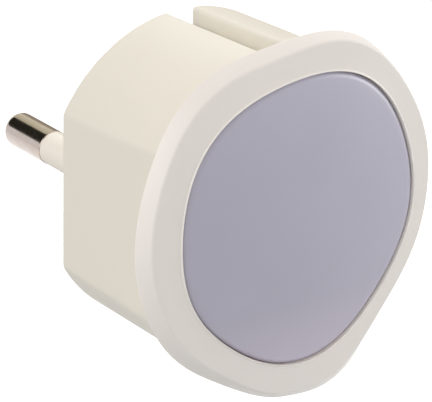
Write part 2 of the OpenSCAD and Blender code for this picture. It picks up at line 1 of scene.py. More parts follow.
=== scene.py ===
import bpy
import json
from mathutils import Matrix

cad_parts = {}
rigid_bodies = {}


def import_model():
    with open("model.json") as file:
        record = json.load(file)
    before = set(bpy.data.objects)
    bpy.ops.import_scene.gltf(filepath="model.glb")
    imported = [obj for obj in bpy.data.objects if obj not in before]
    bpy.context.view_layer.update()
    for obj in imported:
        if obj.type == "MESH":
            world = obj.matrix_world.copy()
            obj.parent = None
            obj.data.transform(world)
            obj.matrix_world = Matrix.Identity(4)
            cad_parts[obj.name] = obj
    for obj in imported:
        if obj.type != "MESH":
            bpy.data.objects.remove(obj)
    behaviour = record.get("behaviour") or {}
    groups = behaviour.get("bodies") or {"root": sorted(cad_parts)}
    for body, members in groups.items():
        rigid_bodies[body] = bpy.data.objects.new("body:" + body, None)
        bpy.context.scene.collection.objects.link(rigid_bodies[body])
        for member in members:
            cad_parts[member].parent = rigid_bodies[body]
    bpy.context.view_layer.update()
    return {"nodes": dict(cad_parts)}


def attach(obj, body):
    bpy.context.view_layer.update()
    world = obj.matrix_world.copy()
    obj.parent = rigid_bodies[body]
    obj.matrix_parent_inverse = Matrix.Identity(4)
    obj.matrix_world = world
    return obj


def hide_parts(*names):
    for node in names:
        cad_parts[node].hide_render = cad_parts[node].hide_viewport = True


bl_info = {
    "name": "Plug in night light",
    "version": (1, 0, 0),
    "blender": (4, 5, 0),
    "location": "3D View > Sidebar > Night light",
    "description": "Dresses the packed plug in night light: body, pins, soft front ring and milky window",
    "category": "Object",
}

import json
import math

import bmesh
import bpy
import numpy as np
from bpy.props import FloatProperty, FloatVectorProperty, PointerProperty
from mathutils import Matrix, Vector
from mathutils.geometry import tessellate_polygon

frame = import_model()

BODY = "root"
MM = 0.001
MM_PER_M = 1000.0

# Sensor width in millimetres, image width in pixels, nearest and farthest distance in metres
SENSOR, IMAGE_WIDTH = 36.0, 432
CLIP_NEAR, CLIP_FAR = 0.01, 20.0

# Distances in metres within which points are welded and slivers removed, and the angle from which an
# edge stays sharp
WELD, SLIVER, SHARP = 1e-7, 1e-8, math.radians(40.0)

# Play between parts that slide into each other, and the least fillet that a corner keeps
FIT = 0.15 * MM
LEAST_FILLET = 0.02 * MM
# Depth of the screws' pilot holes, and corner radius of the pad under the pins' flanges
PILOT_DEPTH, PAD_CORNER = 6 * MM, 0.6 * MM
# A finger's hook: its reach, and where it reaches furthest and ends, from the finger's free end
HOOK_REACH, HOOK_MIDDLE, HOOK_END = 0.5 * MM, 0.6 * MM, 1.2 * MM
# The bead around the window: its rise and the softness of its foot, as shares of its width
BEAD_RISE, BEAD_SOFT = 0.85, 0.3
# The window's dome: the power of its fall, and of the spacing of its rows
DOME_POWER, ROW_POWER = 2.2, 0.8
# The window's snap skirt: its bead's height, and where the bead starts and peaks behind the web
SNAP_BEAD, SNAP_START, SNAP_PEAK = 0.15 * MM, 0.1 * MM, 0.4 * MM
# The hollow behind the window: how far it starts inside the skirt, and the skirt's foot from its seat
HOLLOW_STEP, SKIRT_FOOT = 0.4 * MM, 0.2 * MM
# A pin: the round at its shank's end, its poles' radii, and its riveted head's rim, crown and heights
SHANK_SOFT, TIP_POLE, RIVET_POLE = 0.04 * MM, 0.15 * MM, 0.2 * MM
RIVET_RIM, RIVET_CROWN, CROWN_HEIGHT, RIVET_HEIGHT = 0.45 * MM, 0.2 * MM, 0.5 * MM, 0.58 * MM
# A sleeve: its play on the core, and the round on its outer end
SLEEVE_PLAY, SLEEVE_SOFT = 0.02 * MM, 0.08 * MM


# ------------------------------------------------------------------ settings

def mm(name, description, default_mm, low_mm=0.0, high_mm=60.0):
    """A size in metres, given here in millimetres."""
    return FloatProperty(name=name, description=description, default=default_mm * MM,
                         min=low_mm * MM, max=high_mm * MM, unit="LENGTH", precision=5)


def angle(name, description, degrees):
    """An angle in radians, given here in degrees."""
    return FloatProperty(name=name, description=description, default=math.radians(degrees), subtype="ANGLE")


def colour(name, description, default):
    """A linear colour."""
    return FloatVectorProperty(name=name, description=description, default=default,
                               size=3, min=0.0, max=1.0, subtype="COLOR")


class NightLightBodySizes(bpy.types.PropertyGroup):
    """Sizes of the plug body."""
    diameter: mm("Diameter", "Diameter of the round body at its rear face", 36.2)
    taper: mm("Taper", "How much the diameter grows up to the front ring", 0.9)
    flats: mm("Across flats", "Distance across the two side flats", 31.4)
    depth: mm("Depth", "From the rear face to the front ring", 20.1)
    rear_edge: mm("Rear edge", "Radius on the rear edge", 0.3)
    flat_edge: mm("Flat edge", "Radius between each flat and the round wall", 1.6)
    slot_width: mm("Slot width", "Width of the slots at the top and bottom", 3.4)
    slot_depth: mm("Slot depth", "Depth of the slots at the rear face", 3)
    slot_edge: mm("Slot edge", "Radius on the slots' long edges", 0.5)
    slot_corner: mm("Slot corner", "Radius in the slots' inner corners", 0.25)
    wall: mm("Wall", "Wall thickness", 1.8)
    floor: mm("Floor", "Thickness of the rear floor", 2.2)
    pad: mm("Pad", "Thickness of the raised pad under the pins' flanges", 1.8)
    pad_half: mm("Pad half width", "Half width of that pad", 3.8)
    pad_end: mm("Pad end", "Half length of that pad", 12)
    earth_hole: mm("Earth hole", "Diameter of the blind hole for a socket's earth pin", 5.4)
    earth_up: mm("Earth hole height", "Height of that hole above the pins", 10)
    earth_depth: mm("Earth hole depth", "Depth of that hole", 15)
    earth_chamfer: mm("Earth hole chamfer", "Chamfer on that hole's mouth", 0.25)
    well: mm("Well radius", "Outer radius of the tube around that hole", 4)
    post: mm("Post", "Diameter of the board posts", 4.2)
    post_x: mm("Post sideways", "Sideways place of the board posts", 11.2)
    post_up: mm("Post height", "Height of the right board post above the pins", 6)
    post_top: mm("Post top", "Depth at which the board rests on the posts", 15.8)
    pilot: mm("Pilot hole", "Diameter of the screws' pilot holes", 1.94)


class NightLightPinSizes(bpy.types.PropertyGroup):
    """Sizes of the two plug pins and their sleeves."""
    diameter: mm("Diameter", "Diameter of the bare metal", 4)
    length_out: mm("Length", "Length outside the body", 19)
    pitch: mm("Pitch", "Distance between the pins at the rear face", 18.8)
    lean: angle("Lean", "Inward lean of each pin", 1.7)
    tip: mm("Tip radius", "Radius on the edge of the tip", 1)
    sleeve: mm("Sleeve", "Diameter of the insulating sleeve", 3.9)
    sleeve_out: mm("Sleeve length", "Length of the sleeve outside the body", 11.2)
    core: mm("Core", "Diameter of the metal inside the sleeve", 2.6)
    flange: mm("Flange", "Diameter of the inner flange", 5.4)
    flange_depth: mm("Flange depth", "Depth of that flange's rear side", 3.7)
    flange_thickness: mm("Flange thickness", "Thickness of that flange", 1.4)
    stem: mm("Stem", "Diameter of the stem through the contact strip", 2)
    rivet_depth: mm("Rivet depth", "Depth at which the stem's riveted head starts", 6.82)


class NightLightFrontSizes(bpy.types.PropertyGroup):
    """Sizes of the soft front ring and the milky window."""
    window: mm("Window radius", "Mean radius of the window", 16.2)
    window_tall: mm("Window height", "How much taller than wide the window is", 0.37)
    window_lobes: mm("Window lobes", "Three-lobed wave of the window", 0.37)
    window_ripple: mm("Window ripple", "Five-lobed wave of the window", 0.25)
    window_lift: mm("Window lift", "Upward shift of the window's outline", 0.33)
    window_shift: mm("Window shift", "Shift of the window's outline to the right", 0.38)
    crease: mm("Crease radius", "Mean radius of the crease between face and flank", 19.4)
    crease_tall: mm("Crease height", "How much taller than wide the crease is", 0.63)
    crease_lobes: mm("Crease lobes", "Three-lobed wave of the crease", 0.66)
    crease_ripple: mm("Crease ripple", "Five-lobed wave of the crease", 0.43)
    crease_lift: mm("Crease lift", "Upward shift of the crease's outline", 0.26)
    crease_square: mm("Crease square", "Four-lobed wave of the crease", 0.16)
    crease_fine: mm("Crease fine wave", "Seven-lobed wave of the crease", 0.16)
    dent: mm("Dent", "Depth of the soft dent near the bottom of the crease", 0.55)
    dent_turn: angle("Dent turn", "Direction of that dent from the right", 273)
    dent_half: angle("Dent half arc", "Half of the arc that the dent covers", 19)
    lobe_turn: angle("Turn", "Turn of the lobes", 8)
    flare: mm("Flare", "Mean width of the flank", 0.8)
    flare_shift: mm("Flare shift", "Sideways shift of the flank's rear outline", 0.8)
    flare_turn: angle("Flare turn", "Direction of that shift from the right", 166)
    flare_lobes: mm("Flare lobes", "Three-lobed wave on the flank's width", 0.16)
    bulge: mm("Bulge", "Height of the soft bulge at the flank's lower right", 1.4)
    bulge_turn: angle("Bulge turn", "Direction of that bulge from the right", 294)
    bulge_half: angle("Bulge half arc", "Half of the arc that the bulge covers", 24)
    flank: mm("Flank depth", "Depth of the bevelled flank", 1.2)
    rise: mm("Face rise", "Rise of the ring's face from the crease to the window", 0.56)
    web: mm("Web", "Thickness of the web behind the window", 0.8)
    web_radius: mm("Web radius", "Radius of the opening in that web", 12.8)
    crease_soft: mm("Crease softness", "Softness of the crease", 0.25)
    lip_soft: mm("Lip softness", "Softness of the lip around the window", 0.1)
    bead: mm("Bead", "Width of the thin raised bead around the window", 0.22)
    rear_soft: mm("Rear softness", "Softness of the ring's rear edge", 0.12)
    gap: mm("Gap", "Gap between the window and the lip", 0.04)
    dome: mm("Dome", "Rise of the window's dome", 1.35)
    drop: mm("Drop", "Drop of the window's edge below the lip", 0.2)
    edge: mm("Window edge", "Radius on the window's edge", 0.9)
    dome_wall: mm("Dome wall", "Wall thickness of the window", 1)
    skirt: mm("Skirt", "Thickness of the window's snap skirt", 1)
    skirt_height: mm("Skirt height", "Height of that skirt behind the web", 0.9)
    finger: mm("Finger", "Thickness of the ring's snap fingers", 1.4)
    finger_start: mm("Finger start", "Depth of the fingers' free ends", 17.1)
    finger_arc: angle("Finger arc", "Arc covered by each finger", 26)
    finger_turn: angle("Finger place", "Direction of the first finger", 58)


class NightLightColours(bpy.types.PropertyGroup):
    """Colours of the pieces that are seen from outside."""
    body: colour("Body", "Cream plastic of the plug body", (0.737, 0.694, 0.605))
    ring: colour("Ring", "Cream plastic of the front ring", (0.858, 0.806, 0.756))
    window: colour("Window", "Milky lavender-grey window", (0.459, 0.443, 0.530))
    metal: colour("Metal", "Nickel plate of the pins", (0.56, 0.49, 0.46))
    sleeve: colour("Sleeve", "Ivory insulation of the pins", (0.80, 0.74, 0.65))
    floor: colour("Floor", "Pale floor", (0.40, 0.40, 0.40))


class NightLightView(bpy.types.PropertyGroup):
    """The camera's place, as turns of the object in front of it and its offset from the lens."""
    yaw: angle("Yaw", "Turn about the upright axis", 37.79)
    pitch: angle("Pitch", "Tilt towards the camera", 22.11)
    roll: angle("Roll", "Turn about the viewing axis", 1.16)
    offset: FloatVectorProperty(name="Offset", size=3,
                                description="The origin as the lens sees it: right, down, away",
                                default=(-4.342 * MM, -4.474 * MM, 370.479 * MM),
                                subtype="TRANSLATION", unit="LENGTH", precision=5)
    focal: FloatProperty(name="Focal length", description="Focal length in pixels of the image",
                         default=3303.7, min=100.0, max=10000.0)
    floor_drop: mm("Floor drop", "Depth of the floor below the plug's axis", 320, low_mm=20, high_mm=1000)


# ------------------------------------------------------------------ mesh tools

def fresh(collection, name, *data):
    """A new entry in one of the file's collections, in place of an older one of its name."""
    old = collection.get(name)
    if old is not None:
        collection.remove(old)
    return collection.new(name, *data)


def new_object(name, data):
    """A new object in the scene."""
    made = fresh(bpy.data.objects, name, data)
    bpy.context.scene.collection.objects.link(made)
    return made


def spread(*arrays):
    """Arrays spread against each other and stacked as the coordinates of points."""
    return np.stack(np.broadcast_arrays(*arrays), axis=-1).astype(float)


def place(x, up, depth):
    """Points from sideways, upward and depth arrays: x stays, depth runs along -Y and up is Z."""
    return spread(x, -np.asarray(depth), up)


def directions(count=360):
    """Evenly spaced directions round the axis, as angles from the right."""
    return np.arange(count) * 2 * math.pi / count


def grid_quads(rows, cols, wrap_rows=False, wrap_cols=True):
    """Four-sided faces of a grid of points, row after row. Rows or columns may close on themselves."""
    i = np.arange(rows if wrap_rows else rows - 1)[:, None]
    j = np.arange(cols if wrap_cols else cols - 1)[None, :]
    below, beside = (i + 1) % rows, (j + 1) % cols
    return np.stack([i * cols + j, i * cols + beside, below * cols + beside, below * cols + j],
                    axis=-1).reshape(-1, 4)


def fan(centre, ring):
    """Triangles from one point to a closed ring of points."""
    return np.stack([np.full(len(ring), centre), ring, np.roll(ring, -1)], axis=-1)


class Surface:
    """Collects grids, fans and flat plates as points and faces, and welds them into one closed mesh."""

    def __init__(self):
        self.points, self.faces, self.count = [], [], 0

    def add(self, points, *face_arrays):
        """Takes in points and the faces between them."""
        for faces in face_arrays:
            self.faces += (faces + self.count).tolist()
        self.points.append(points)
        self.count += len(points)

    def tube(self, grid, wrap_rows=False, start=False, end=False):
        """A grid of rows of points, closed round, with a fan over its first or last row if asked."""
        rows, cols = grid.shape[:2]
        points, first = grid.reshape(-1, 3), np.arange(cols)
        face_arrays = [grid_quads(rows, cols, wrap_rows)]
        for wanted, ring in ((start, first), (end, first + (rows - 1) * cols)):
            if wanted:
                face_arrays.append(fan(len(points), ring))
                points = np.vstack([points, points[ring].mean(axis=0)])
        self.add(points, *face_arrays)

    def plate(self, loops):
        """A flat face bounded by the first loop, with the other loops as its holes."""
        self.add(np.vstack(loops),
                 np.array(tessellate_polygon([[Vector(p) for p in loop] for loop in loops])))

    def piece(self, name):
        """The welded mesh as a new object, its faces turned outwards, smooth except at sharp edges."""
        mesh = fresh(bpy.data.meshes, name)
        mesh.from_pydata(np.vstack(self.points).tolist(), [], self.faces)
        work = bmesh.new()
        work.from_mesh(mesh)
        bmesh.ops.remove_doubles(work, verts=work.verts, dist=WELD)
        bmesh.ops.dissolve_degenerate(work, edges=work.edges, dist=SLIVER)
        bmesh.ops.recalc_face_normals(work, faces=work.faces)
        work.to_mesh(mesh)
        work.free()
        mesh.polygons.foreach_set("use_smooth", np.ones(len(mesh.polygons), bool))
        mesh.set_sharp_from_angle(angle=SHARP)
        mesh.update()
        return new_object(name, mesh)


def line(a, b, steps):
    """Evenly spaced points from a to b, without b."""
    t = np.linspace(0, 1, steps, endpoint=False)[:, None]
    return (1 - t) * np.asarray(a, float) + t * np.asarray(b, float)


def arc(centre, radius, start, stop, steps):
    """Points on a circle from the angle start to the angle stop, without the last one."""
    a = np.linspace(start, stop, steps, endpoint=False)
    return np.asarray(centre, float) + radius * np.stack([np.cos(a), np.sin(a)], axis=-1)


def soft_corner(a, b, c, reach, steps):
    """A corner b between a and c, replaced by a parabola that leaves both sides `reach` from b."""
    def toward(p):
        return b + reach * (p - b) / np.linalg.norm(p - b, axis=-1, keepdims=True)
    p, q = toward(a), toward(c)
    t = np.linspace(0, 1, steps)[:, None]
    p, q, b = p[..., None, :], q[..., None, :], b[..., None, :]
    return (1 - t) ** 2 * p + 2 * t * (1 - t) * b + t ** 2 * q


def circle(x, up, radius, depth, sides=64):
    """A round loop facing the front: the centre plus radius times the cosine and sine of the turn."""
    a = directions(sides)
    return place(x + radius * np.cos(a), up + radius * np.sin(a), depth)


def turned(x, up, profile):
    """A round wall about an axis at (x, up): one circle for each radius and depth of its profile."""
    return np.stack([circle(x, up, radius, depth) for radius, depth in profile])


def lathe(profile, sides=96):
    """A profile of radius and depth turned round the depth axis: radius times the cosine and sine of
    the turn, and the depth."""
    a = directions(sides)
    r, z = profile[:, :1], profile[:, 1:]
    return spread(r * np.cos(a), r * np.sin(a), z)


# ------------------------------------------------------------------ shapes

def body_outline(size, inset, depth):
    """The plug body's outline, `inset` inside its surface, at one depth.
    A quarter runs up the flat, round a fillet, along the circle, round a fillet, down the slot's wall,
    round its inner corner and along its floor; the other quarters are its mirror images.
    The circle's radius grows in proportion to the depth."""
    radius = size.diameter / 2 + size.taper / 2 * depth / size.depth - inset
    flat = size.flats / 2 - inset
    half = size.slot_width / 2 + inset
    floor = size.diameter / 2 - size.slot_depth - inset
    edge = max(size.flat_edge - inset, LEAST_FILLET)
    lip = max(size.slot_edge - inset, LEAST_FILLET)
    corner = size.slot_corner + inset
    y_edge = math.sqrt((radius - edge) ** 2 - (flat - edge) ** 2)
    y_lip = math.sqrt((radius - lip) ** 2 - (half + lip) ** 2)
    a_edge = math.atan2(y_edge, flat - edge)
    a_lip = math.atan2(y_lip, half + lip)
    quarter = np.vstack([
        line((flat, 0), (flat, y_edge), steps=14),
        arc((flat - edge, y_edge), edge, 0, a_edge, steps=8),
        arc((0, 0), radius, a_edge, a_lip, steps=44),
        arc((half + lip, y_lip), lip, a_lip, math.pi, steps=8),
        line((half, y_lip), (half, floor + corner), steps=6),
        arc((half - corner, floor + corner), corner, 0, -math.pi / 2, steps=6),
        line((half - corner, floor), (0, floor), steps=5),
        [(0, floor)],
    ])
    back = quarter[::-1]
    return np.vstack([quarter[:-1], (back * (-1, 1))[:-1], -quarter[:-1], (back * (1, -1))[:-1]])


def body_row(size, inset, depth):
    """The body's outline as a row of points at its depth."""
    points = body_outline(size, inset, depth)
    return place(points[:, 0], points[:, 1], depth)


def body_surface(size, pins):
    """The plug body as one closed shell: a rounded rear edge whose inset is the radius less its sine,
    a tapered outer wall, the rim that meets the ring, the inner wall, and two floors joined by the holes."""
    shell = Surface()
    edge = size.rear_edge
    edge_rows, outer_rows, inner_rows = 9, 15, 9
    rows = [(edge * (1 - math.sin(t)), edge * (1 - math.cos(t)))
            for t in np.linspace(0, math.pi / 2, edge_rows)]
    rows += [(0, z) for z in np.linspace(edge, size.depth, outer_rows)[1:]]
    rows += [(size.wall, z) for z in np.linspace(size.depth, size.floor, inner_rows)]
    shell.tube(np.stack([body_row(size, inset, depth) for inset, depth in rows]))

    pad_top = size.floor + size.pad
    rear_holes, pad_holes = [], []
    for side in (-1, 1):
        wall = np.stack([circle(side * (pins.pitch / 2 + math.tan(pins.lean) * z), 0,
                                pins.sleeve / 2 + FIT, z) for z in (0.0, pad_top)])
        shell.tube(wall)
        rear_holes.append(wall[0])
        pad_holes.append(wall[1])
    hole, mouth = size.earth_hole / 2, size.earth_hole / 2 + size.earth_chamfer
    shell.tube(turned(0, size.earth_up, [(mouth, 0), (hole, size.earth_chamfer), (hole, size.earth_depth)]),
               end=True)
    rear_holes.append(circle(0, size.earth_up, mouth, 0))
    shell.plate([body_row(size, edge, 0)] + rear_holes)

    floor_holes = [circle(0, size.earth_up, size.well, size.floor)]
    shell.tube(turned(0, size.earth_up, [(size.well, size.floor), (size.well, size.post_top)]), end=True)
    for side in (-1, 1):
        x, up = side * size.post_x, side * size.post_up
        shell.tube(turned(x, up, [(size.post / 2, size.floor), (size.post / 2, size.post_top),
                                  (size.pilot / 2, size.post_top),
                                  (size.pilot / 2, size.post_top - PILOT_DEPTH)]), end=True)
        floor_holes.append(circle(x, up, size.post / 2, size.floor))
    w, h = size.pad_end - PAD_CORNER, size.pad_half - PAD_CORNER
    block = np.vstack([arc((right * w, up * h), PAD_CORNER, k * math.pi / 2, (k + 1) * math.pi / 2, steps=5)
                       for k, (right, up) in enumerate(((1, 1), (-1, 1), (-1, -1), (1, -1)))])
    pad = [place(block[:, 0], block[:, 1], z) for z in (size.floor, pad_top)]
    shell.tube(np.stack(pad))
    shell.plate([pad[1]] + pad_holes)
    shell.plate([body_row(size, size.wall, size.floor), pad[0]] + floor_holes)
    return shell


def lobed(a, turn, mean, tall, lobes, ripple, lift, square=0.0, fine=0.0):
    """Radius of the soft outline in direction a: a mean radius with waves of two, three, four, five and
    seven lobes, all mirrored about the same axis, and an upward shift."""
    u = a - turn
    return (mean - tall * np.cos(2 * u) + lobes * np.sin(3 * u) + square * np.cos(4 * u)
            - ripple * np.sin(5 * u) + fine * np.sin(7 * u) + lift * np.sin(u))


def window_radius(size, a):
    """Radius of the window in direction a: its lobed outline, shifted sideways."""
    return lobed(a, size.lobe_turn, size.window, size.window_tall, size.window_lobes, size.window_ripple,
                 size.window_lift) + size.window_shift * np.cos(a)


def swell(a, centre, half):
    """A soft swell of height 1 in direction centre: the squared cosine of a quarter turn spread over half,
    and nothing beyond half on either side."""
    away = (a - centre + math.pi) % (2 * math.pi) - math.pi
    return np.where(np.abs(away) < half, np.cos(away / half * math.pi / 2) ** 2, 0.0)


def dent_depth(size, a):
    """Depth of the soft dent in direction a."""
    return size.dent * swell(a, size.dent_turn, size.dent_half)


def crease_radius(size, a):
    """Radius of the crease in direction a: its lobed outline less the soft dent near the bottom."""
    return lobed(a, size.lobe_turn, size.crease, size.crease_tall, size.crease_lobes, size.crease_ripple,
                 size.crease_lift, size.crease_square, size.crease_fine) - dent_depth(size, a)


def flare_width(size, a):
    """Width of the flank in direction a: a mean, a sideways shift, a three-lobed wave, the depth of the
    crease's dent and the bulge at the lower right."""
    return (size.flare + size.flare_shift * np.cos(a - size.flare_turn)
            - size.flare_lobes * np.sin(3 * (a - size.lobe_turn)) + dent_depth(size, a)
            + size.bulge * swell(a, size.bulge_turn, size.bulge_half))


def carried_round(profile, a):
    """A profile of radius and depth for each direction, set out round the axis as a grid of rows."""
    r, z = profile[..., 0], profile[..., 1]
    return place(r * np.cos(a)[:, None], r * np.sin(a)[:, None], z).transpose(1, 0, 2)


def depths(size, body_depth):
    """Depths of the ring: its back, the web's front, the crease, the lip and the window's edge."""
    crease = body_depth + size.flank
    lip = crease + size.rise
    return body_depth, body_depth + size.web, crease, lip, lip - size.drop


def ring_surface(size, body):
    """The ring: in every direction a straight flank, a soft crease, a sloping face, a thin raised bead and
    a seat for the window, plus four snap fingers that are short arcs of one hooked profile."""
    ring = Surface()
    a = directions()
    back, seat, crease, lip, _ = depths(size, body.depth)
    outer = crease_radius(size, a)
    inner = window_radius(size, a) + size.gap
    web = np.full_like(a, size.web_radius)
    p_web_back, p_back = spread(web, back), spread(outer + flare_width(size, a), back)
    p_crease, p_foot = spread(outer, crease), spread(inner + size.bead, lip - BEAD_RISE * size.bead)
    p_lip, p_seat, p_web = spread(inner, lip), spread(inner, seat), spread(web, seat)
    profile = np.concatenate([
        p_web_back[:, None],
        soft_corner(p_web_back, p_back, p_crease, size.rear_soft, steps=5),
        soft_corner(p_back, p_crease, p_foot, size.crease_soft, steps=13),
        soft_corner(p_crease, p_foot, p_lip, BEAD_SOFT * size.bead, steps=5),
        soft_corner(p_foot, p_lip, p_seat, size.lip_soft, steps=7),
        p_seat[:, None], p_web[:, None]], axis=1)
    ring.tube(carried_round(profile, a), wrap_rows=True)

    start, end = size.finger_start, back + size.web / 2
    radius = body.diameter / 2 - body.wall - FIT
    outer_start = radius + body.taper / 2 * start / body.depth
    outer_end = radius + body.taper / 2 * end / body.depth
    finger = np.array([
        (outer_start - size.finger, start), (outer_start, start),
        (outer_start + HOOK_REACH, start + HOOK_MIDDLE), (outer_start + HOOK_REACH, start + HOOK_END),
        (outer_start, start + HOOK_END), (outer_end, end), (outer_end - size.finger, end)])
    turn, finger_columns = size.finger_turn, 13
    for centre in (turn, math.pi - turn, math.pi + turn, -turn):
        span = np.linspace(centre - size.finger_arc / 2, centre + size.finger_arc / 2, finger_columns)
        ring.tube(place(np.outer(np.cos(span), finger[:, 0]), np.outer(np.sin(span), finger[:, 0]),
                        finger[:, 1]), start=True, end=True)
    return ring


def dome_depth(size, edge_depth, t):
    """Depth of the dome at a share t of the way out: the edge's depth plus the rise times 1 - t to the
    dome's power."""
    return edge_depth + size.dome * (1 - t ** DOME_POWER)


def window_surface(size, body):
    """The window: a dome over the lobed outline, a rounded edge that leaves the dome along its slope,
    a seat, a beaded snap skirt, and the dome's inner side."""
    window = Surface()
    a = directions()
    back, seat, _, _, edge_depth = depths(size, body.depth)
    r = window_radius(size, a)[:, None]
    dome_rows, rim_rows, hollow_rows = 25, 10, 14

    slope = math.atan(size.dome * DOME_POWER / size.window)
    share = 1 - size.edge * (1 - math.sin(slope)) / r
    t = np.linspace(0, 1, dome_rows)[1:-1][None, :] ** ROW_POWER * share
    dome = spread(r * t, dome_depth(size, edge_depth, t))
    turn = np.linspace(math.pi / 2 - slope, 0, rim_rows)
    centre = dome_depth(size, edge_depth, share) - size.edge * math.cos(slope)
    rim = spread(r - size.edge + size.edge * np.cos(turn), centre + size.edge * np.sin(turn))

    outer = size.web_radius - FIT
    inner = outer - size.skirt
    skirt = np.array([
        (outer, seat), (outer, back - SNAP_START), (size.web_radius + SNAP_BEAD, back - SNAP_PEAK),
        (outer, back - size.skirt_height), (inner, back - size.skirt_height), (inner, seat - SKIRT_FOOT)])
    hollow_r = ((inner - HOLLOW_STEP) * np.linspace(1, 0, hollow_rows)[:-1])[None, :]
    hollow = spread(hollow_r, dome_depth(size, edge_depth, hollow_r / r) - size.dome_wall)
    profile = np.concatenate([dome, rim, spread(r, seat), np.broadcast_to(skirt, (len(a), *skirt.shape)),
                              hollow], axis=1)
    window.tube(carried_round(profile, a), start=True, end=True)
    return window


def leaning(grid, pins, side):
    """Turns a lathe's points into the row frame, about the point where a pin meets the rear face:
    the pin leans inwards by its angle, away from the body."""
    c, s = math.cos(pins.lean), math.sin(side * pins.lean)
    x, up, z = grid[..., 0], grid[..., 1], grid[..., 2]
    return place(side * pins.pitch / 2 + c * x + s * z, up, c * z - s * x)


def pin_surface(pins, side):
    """A pin turned about its axis: a flat tip, a quarter-round edge, the bare shank, the thin core,
    the flange, and the stem with its riveted head."""
    r, core, collar, stem = pins.diameter / 2, pins.core / 2, pins.flange / 2, pins.stem / 2
    end, step, rivet = -pins.length_out, -pins.sleeve_out, pins.rivet_depth
    front, back = pins.flange_depth + pins.flange_thickness, pins.flange_depth
    profile = np.vstack([
        line((TIP_POLE, end), (r - pins.tip, end), steps=3),
        arc((r - pins.tip, end + pins.tip), pins.tip, -math.pi / 2, 0, steps=14),
        line((r, end + pins.tip), (r, step - SHANK_SOFT), steps=24),
        arc((r - SHANK_SOFT, step - SHANK_SOFT), SHANK_SOFT, 0, math.pi / 2, steps=5),
        [(core, step), (core, back), (collar, back), (collar, front), (stem, front), (stem, rivet),
         (stem + RIVET_RIM, rivet), (stem + RIVET_CROWN, rivet + CROWN_HEIGHT),
         (RIVET_POLE, rivet + RIVET_HEIGHT)],
    ])
    pin = Surface()
    pin.tube(leaning(lathe(profile), pins, side), start=True, end=True)
    return pin


def sleeve_surface(pins, side):
    """A sleeve turned about the pin's axis: a tube with a rounded outer end."""
    r, hole, soft = pins.sleeve / 2, pins.core / 2 + SLEEVE_PLAY, SLEEVE_SOFT
    start, end = pins.flange_depth, -pins.sleeve_out
    profile = np.vstack([
        line((hole, start), (hole, end), steps=2),
        line((hole, end), (r - soft, end), steps=2),
        arc((r - soft, end + soft), soft, -math.pi / 2, 0, steps=6),
        line((r, end + soft), (r, start), steps=20),
        [(r, start)],
    ])
    sleeve = Surface()
    sleeve.tube(leaning(lathe(profile), pins, side), wrap_rows=True)
    return sleeve


# ------------------------------------------------------------------ materials

# Kinds of the groups' sockets that aren't plain numbers, and what each finish puts out
NUMBER = "NodeSocketFloat"
SOCKET_KINDS = {"Vector": "NodeSocketVector", "Stretch": "NodeSocketVector", "Color": "NodeSocketColor",
                "Second Color": "NodeSocketColor", "Tarnish Color": "NodeSocketColor"}
FINISH_OUTPUTS = ("Color", "Roughness", "Height")
# The colour sockets of a Mix node
MIX_A, MIX_B, MIX_RESULT = 6, 7, 2
# Axes of the Object coordinates: sideways, towards the rear, and up
SIDEWAYS, REARWARD, UPWARD = 0, 1, 2
WHITE, BLACK = (1.0, 1.0, 1.0), (0.0, 0.0, 0.0)


def feed(socket, entry):
    """Links a socket to another node's output, or sets it to a number, a vector or a colour."""
    if hasattr(entry, "is_output"):
        socket.id_data.links.new(entry, socket)
    else:
        socket.default_value = (*entry, 1.0) if socket.type == "RGBA" else entry


def node(tree, kind, *entries, **values):
    """A new node with its settings and sockets filled in by name, and its first sockets in order."""
    made = tree.nodes.new(kind)
    for key, value in values.items():
        label = key.replace("_", " ")
        if label in made.inputs:
            feed(made.inputs[label], value)
        else:
            setattr(made, key, value)
    for socket, entry in zip(made.inputs, entries):
        feed(socket, entry)
    return made


def calc(operation, value, *others):
    """One step of arithmetic on another node's output."""
    return node(value.id_data, "ShaderNodeMath", value, *others, operation=operation).outputs[0]


def add(a, b):
    """The sum of two values."""
    return calc("ADD", a, b)


def times(a, b):
    """The product of two values."""
    return calc("MULTIPLY", a, b)


def centred(value):
    """A value from 0 to 1 made one from -0.5 to 0.5."""
    return calc("SUBTRACT", value, 0.5)


def remap(value, low, high, to_low=0.0, to_high=1.0):
    """Maps a value from one range to another, held inside the new range."""
    return node(value.id_data, "ShaderNodeMapRange", value, low, high, to_low, to_high).outputs[0]


def noise(vector, scale, detail=2.0, rough=0.5):
    """Smooth noise from 0 to 1."""
    return node(vector.id_data, "ShaderNodeTexNoise", Vector=vector, Scale=scale, Detail=detail,
                Roughness=rough).outputs["Fac"]


def part(vector, axis):
    """One coordinate of a vector."""
    return node(vector.id_data, "ShaderNodeSeparateXYZ", vector).outputs[axis]


def along(vector, axis):
    """One coordinate of a place, in millimetres."""
    return times(part(vector, axis), MM_PER_M)


def between(value, low, high):
    """1 where the value lies between low and high, else 0."""
    return times(calc("GREATER_THAN", value, low), calc("LESS_THAN", value, high))


def blend_colours(share, a, b):
    """Colour a where the share is 0 and b where it is 1."""
    made = node(share.id_data, "ShaderNodeMix", share, data_type="RGBA")
    feed(made.inputs[MIX_A], a)
    feed(made.inputs[MIX_B], b)
    return made.outputs[MIX_RESULT]


def dimmed(colour, value):
    """A varying colour at a share of its brightness."""
    return node(colour.id_data, "ShaderNodeHueSaturation", Value=value, Color=colour).outputs["Color"]


def darker(rgb, share):
    """A plain colour at a share of its brightness."""
    return tuple(share * c for c in rgb)


